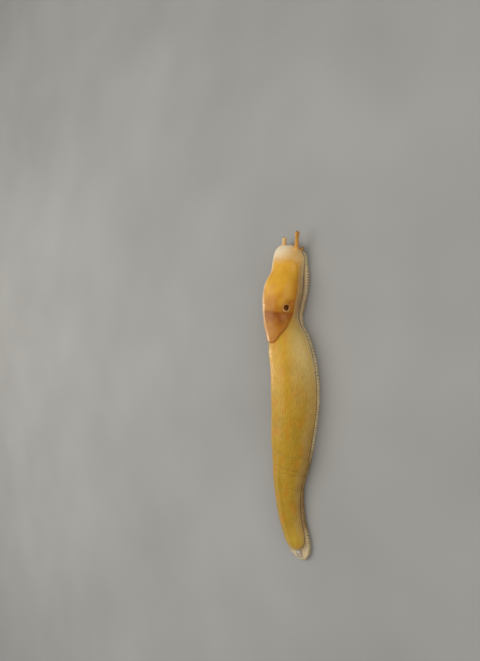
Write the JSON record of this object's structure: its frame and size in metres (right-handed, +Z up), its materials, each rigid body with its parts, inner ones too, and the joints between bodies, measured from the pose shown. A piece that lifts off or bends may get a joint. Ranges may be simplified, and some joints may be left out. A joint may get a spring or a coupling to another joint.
{
  "type": "banana slug",
  "caption": "Life-size banana slug, still, crawling forward with its body bowed in a slow curve, both long feelers out and its mantle drawn over the neck.",
  "frame": {"origin": "on the plane of the sole, under the middle of the whole outline", "axes": "+X towards the head, +Y to the animal's left, +Z up"},
  "size_m": [0.1994, 0.039, 0.0211],
  "materials": {
    "mantle_skin": "wet, smooth, orange yellow",
    "body_skin": "wet, finely furrowed, yellow on the back and cream on the flanks",
    "head_skin": "wet, finely grained, pale orange",
    "foot_skin": "wet, pleated, cream",
    "eye": "glossy black",
    "mucus": "clear wet drop"
  },
  "bodies": {
    "root": {"head": "head_skin", "neck": "head_skin", "body_front": "body_skin", "body_middle": "body_skin", "body_rear": "body_skin", "tail": "body_skin", "mantle": "mantle_skin", "foot_front": "foot_skin", "foot_middle": "foot_skin", "foot_rear": "foot_skin", "eye_stalk_right": "head_skin", "eye_stalk_left": "head_skin", "eye_right": "eye", "eye_left": "eye", "lower_feeler_right": "head_skin", "lower_feeler_left": "head_skin", "mucus_plug": "mucus"}
  },
  "joints": []
}
